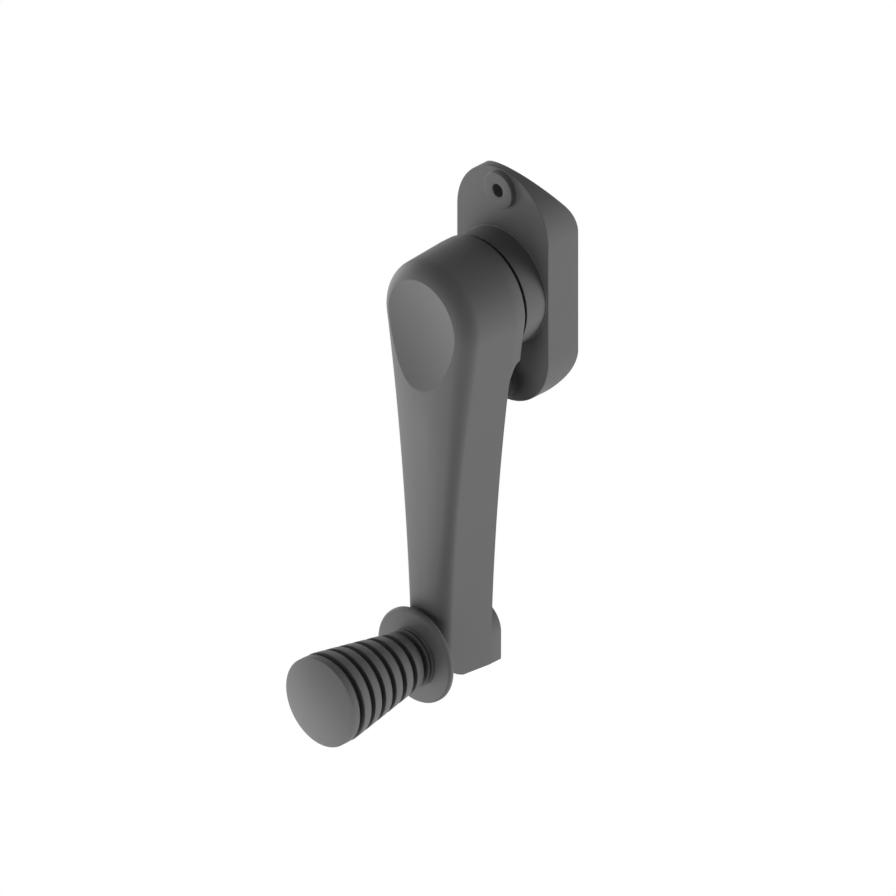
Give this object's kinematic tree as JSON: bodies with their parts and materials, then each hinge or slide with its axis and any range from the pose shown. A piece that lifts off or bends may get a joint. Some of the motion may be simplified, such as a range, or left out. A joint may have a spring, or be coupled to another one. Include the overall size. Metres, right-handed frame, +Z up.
{
  "type": "clothesline crank handle",
  "caption": "Wall-mounted hand crank for a winding clothesline: rounded plate with bearing collar, tapered arm with dished hub, and a ribbed grip that turns on the arm's end.",
  "frame": {"origin": "crank axis at the plane of the wall", "axes": "+Y into the wall along the crank axis, -Y out to the user, +Z up along the plate"},
  "size_m": [0.0358, 0.086, 0.1556],
  "materials": {
    "dark_moulding": "fine satin moulding",
    "bush_plastic": "smooth bearing plastic",
    "seal": "smooth",
    "steel": "zinc plated",
    "brass": "turned"
  },
  "bodies": {
    "base": {"wall_plate": "dark_moulding", "rear_bush": "bush_plastic", "front_bush": "bush_plastic", "shaft_seal": "seal"},
    "crank": {"drive_spindle": "steel", "spindle_clip": "steel", "rear_washer": "steel", "thrust_washer": "bush_plastic", "crank_arm": "dark_moulding", "hub_insert": "steel", "hub_screw": "steel", "lock_washer": "steel", "screw_insert": "brass", "knob_bolt": "steel", "boss_plug": "dark_moulding", "axle_sleeve": "steel", "knob_washer": "bush_plastic", "nut_washer": "steel", "knob_nut": "steel"},
    "knob": {"knob_grip": "dark_moulding", "end_cap": "dark_moulding"}
  },
  "joints": [
    {"name": "crank_turn", "type": "hinge", "parent": "base", "child": "crank", "pos_m": [0, 0, 0], "axis": [0, 1, 0], "continuous": true},
    {"name": "knob_spin", "type": "hinge", "parent": "crank", "child": "knob", "pos_m": [0, -0.06, -0.105], "axis": [0, 1, 0], "continuous": true}
  ]
}
